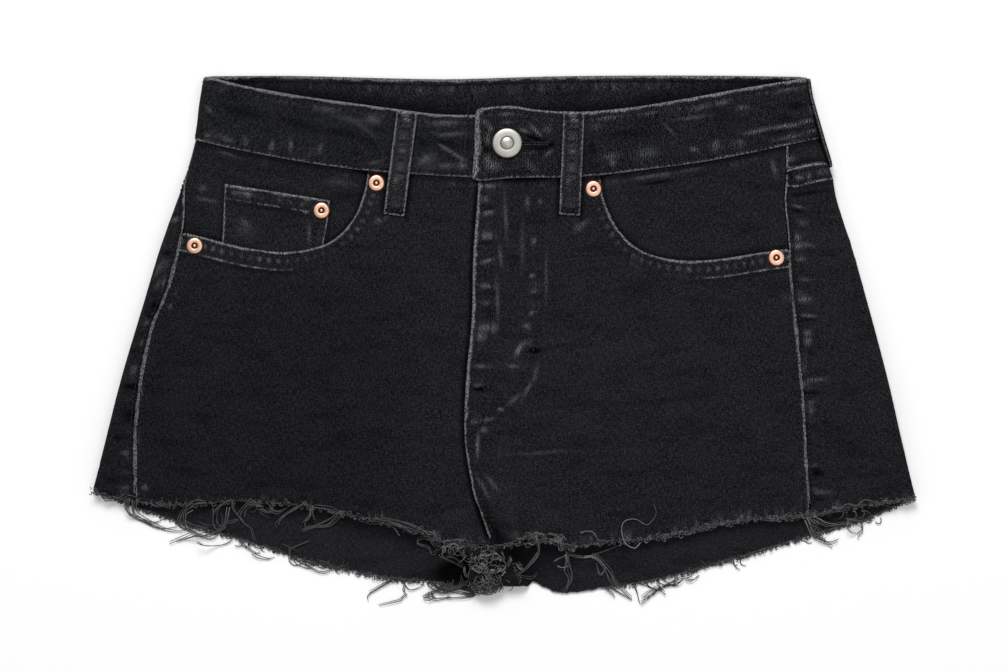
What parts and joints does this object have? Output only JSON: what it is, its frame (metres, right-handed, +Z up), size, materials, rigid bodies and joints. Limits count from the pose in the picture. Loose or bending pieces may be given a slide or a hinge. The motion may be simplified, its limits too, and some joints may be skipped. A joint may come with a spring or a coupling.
{
  "type": "denim shorts",
  "caption": "Cut-off denim shorts, fastened and laid flat on their back, with raw frayed leg hems, scooped front pockets and a buttoned waistband.",
  "frame": {"origin": "on the surface that the shorts lie on, under the middle of their outline", "axes": "+Z up through the front; +Y from the leg hems to the waist; +X to the wearer's left"},
  "size_m": [0.4956, 0.3164, 0.0181],
  "materials": {
    "denim": "washed black twill, matt, worn to grey along seams and edges",
    "hem_yarn": "loose cotton yarn, matt",
    "rivet_metal": "bright copper plate",
    "button_metal": "satin silver, slightly warm"
  },
  "bodies": {
    "root": {"front_right": "denim", "front_left": "denim", "back_right": "denim", "back_left": "denim", "yoke_right": "denim", "yoke_left": "denim", "waistband": "denim", "pocket_facing_right": "denim", "pocket_facing_left": "denim", "coin_pocket": "denim", "back_pocket_right": "denim", "back_pocket_left": "denim", "belt_loop_front_right": "denim", "belt_loop_front_left": "denim", "belt_loop_side_right": "denim", "belt_loop_side_left": "denim", "belt_loop_centre_back": "denim", "fringe_front_right": "hem_yarn", "fringe_front_left": "hem_yarn", "fringe_back_right": "hem_yarn", "fringe_back_left": "hem_yarn", "rivet_right_upper": "rivet_metal", "rivet_right_lower": "rivet_metal", "rivet_coin_pocket": "rivet_metal", "rivet_left_upper": "rivet_metal", "rivet_left_lower": "rivet_metal", "button": "button_metal"}
  },
  "joints": []
}
